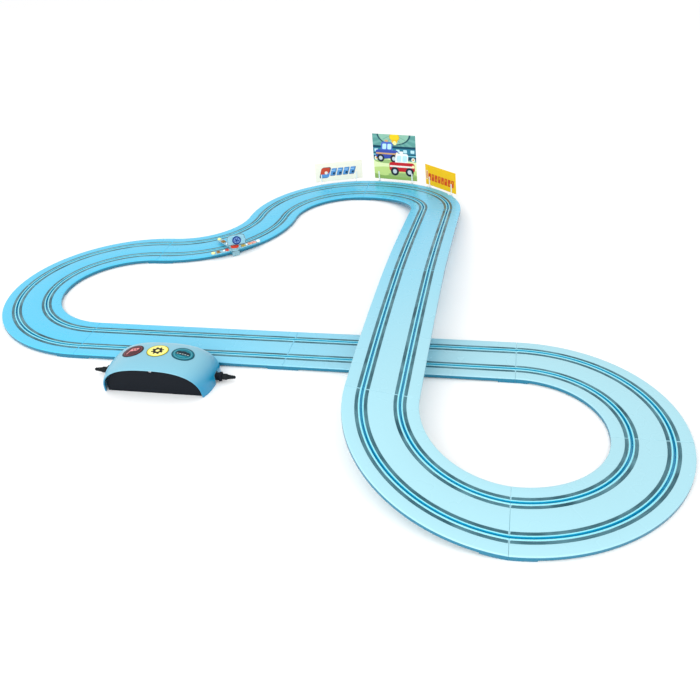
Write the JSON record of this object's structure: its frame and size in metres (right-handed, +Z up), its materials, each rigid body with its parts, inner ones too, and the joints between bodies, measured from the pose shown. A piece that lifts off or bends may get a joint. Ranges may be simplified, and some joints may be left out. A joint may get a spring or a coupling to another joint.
{
  "type": "slot car track set",
  "caption": "Two-lane slot car track in a bridged crossing layout, with battery power box, hinged hood, pull-out plugs, spinner and clip-on boards.",
  "frame": {"origin": "on the floor, at the middle of the track layout's outline", "axes": "+Z up; +X along the front straights, towards the front loop's side; +Y away from the power box, towards the back curves"},
  "size_m": [1.126, 1.1359, 0.1178],
  "materials": {
    "track_blue": "moulded, semi-gloss",
    "rail_steel": "rolled strip, satin",
    "black_plastic": "fine moulded grain",
    "hood_blue": "moulded, semi-gloss",
    "bright_steel": "plated",
    "cell_jacket": "printed film",
    "board_green": "lacquered",
    "sticker_maroon": "gloss-laminated",
    "sticker_yellow": "gloss-laminated",
    "sticker_teal": "gloss-laminated",
    "relief_rubber": "soft, matt",
    "clip_white": "moulded",
    "card_cream": "printed, satin",
    "card_scene": "printed, satin",
    "card_yellow": "printed, satin",
    "spinner_clear": "tinted, glossy",
    "token_paint": "printed",
    "spinner_red": "moulded",
    "badge_blue": "gloss-laminated"
  },
  "bodies": {
    "track_set": {"straight_power": "track_blue", "straight_underpass": "track_blue", "curve_loop_a": "track_blue", "curve_loop_b": "track_blue", "curve_climb": "track_blue", "straight_bridge": "track_blue", "straight_descent": "track_blue", "curve_back_a": "track_blue", "curve_back_b": "track_blue", "curve_s": "track_blue", "curve_left_a": "track_blue", "curve_left_b": "track_blue", "rails_power": "rail_steel", "rails_underpass": "rail_steel", "rails_loop_a": "rail_steel", "rails_loop_b": "rail_steel", "rails_climb": "rail_steel", "rails_bridge": "rail_steel", "rails_descent": "rail_steel", "rails_back_a": "rail_steel", "rails_back_b": "rail_steel", "rails_s": "rail_steel", "rails_left_a": "rail_steel", "rails_left_b": "rail_steel", "pillar_climb": "track_blue", "pillar_bridge": "track_blue", "pillar_descent": "track_blue", "power_housing": "black_plastic", "battery_cells": "cell_jacket", "contact_springs": "bright_steel", "contact_plates": "bright_steel", "jack_sockets": "black_plastic", "wiring_board": "board_green", "hood_hinge_pin": "bright_steel", "board_clips_left": "clip_white", "board_clips_middle": "clip_white", "board_clips_right": "clip_white", "spinner_clip": "spinner_clear", "spinner_axle": "bright_steel"},
    "hood": {"power_hood": "hood_blue", "hood_latch": "black_plastic", "latch_screw": "bright_steel", "sticker_left": "sticker_maroon", "sticker_middle": "sticker_yellow", "sticker_right": "sticker_teal"},
    "plug_left": {"plug_body_left": "black_plastic", "plug_relief_left": "relief_rubber", "plug_pin_left": "bright_steel"},
    "plug_right": {"plug_body_right": "black_plastic", "plug_relief_right": "relief_rubber", "plug_pin_right": "bright_steel"},
    "spinner": {"spinner_rotor": "spinner_clear", "spinner_tokens": "token_paint", "spinner_cap": "spinner_red", "spinner_fin": "spinner_clear", "spinner_badge": "badge_blue"},
    "card_left": {"board_card_left": "card_cream"},
    "card_middle": {"board_card_middle": "card_scene"},
    "card_right": {"board_card_right": "card_yellow"}
  },
  "joints": [
    {"name": "hood_hinge", "type": "hinge", "parent": "track_set", "child": "hood", "pos_m": [-0.1727, -0.228, 0.014], "axis": [-1, 0, 0], "range_deg": [0, 70]},
    {"name": "plug_left_pull", "type": "slide", "parent": "track_set", "child": "plug_left", "axis": [-1, 0, 0], "range_m": [0, 0.02]},
    {"name": "plug_right_pull", "type": "slide", "parent": "track_set", "child": "plug_right", "axis": [1, 0, 0], "range_m": [0, 0.02]},
    {"name": "spinner_spin", "type": "hinge", "parent": "track_set", "child": "spinner", "pos_m": [-0.19853, 0.16919, 0.013], "axis": [0, 0, 1], "continuous": true},
    {"name": "card_left_lift", "type": "slide", "parent": "track_set", "child": "card_left", "axis": [0, 0, 1], "range_m": [0, 0.03]},
    {"name": "card_middle_lift", "type": "slide", "parent": "track_set", "child": "card_middle", "axis": [-0.0285, 0.008, 0.9996], "range_m": [0, 0.03]},
    {"name": "card_right_lift", "type": "slide", "parent": "track_set", "child": "card_right", "axis": [-0.0482, 0.0555, 0.9973], "range_m": [0, 0.03]}
  ]
}
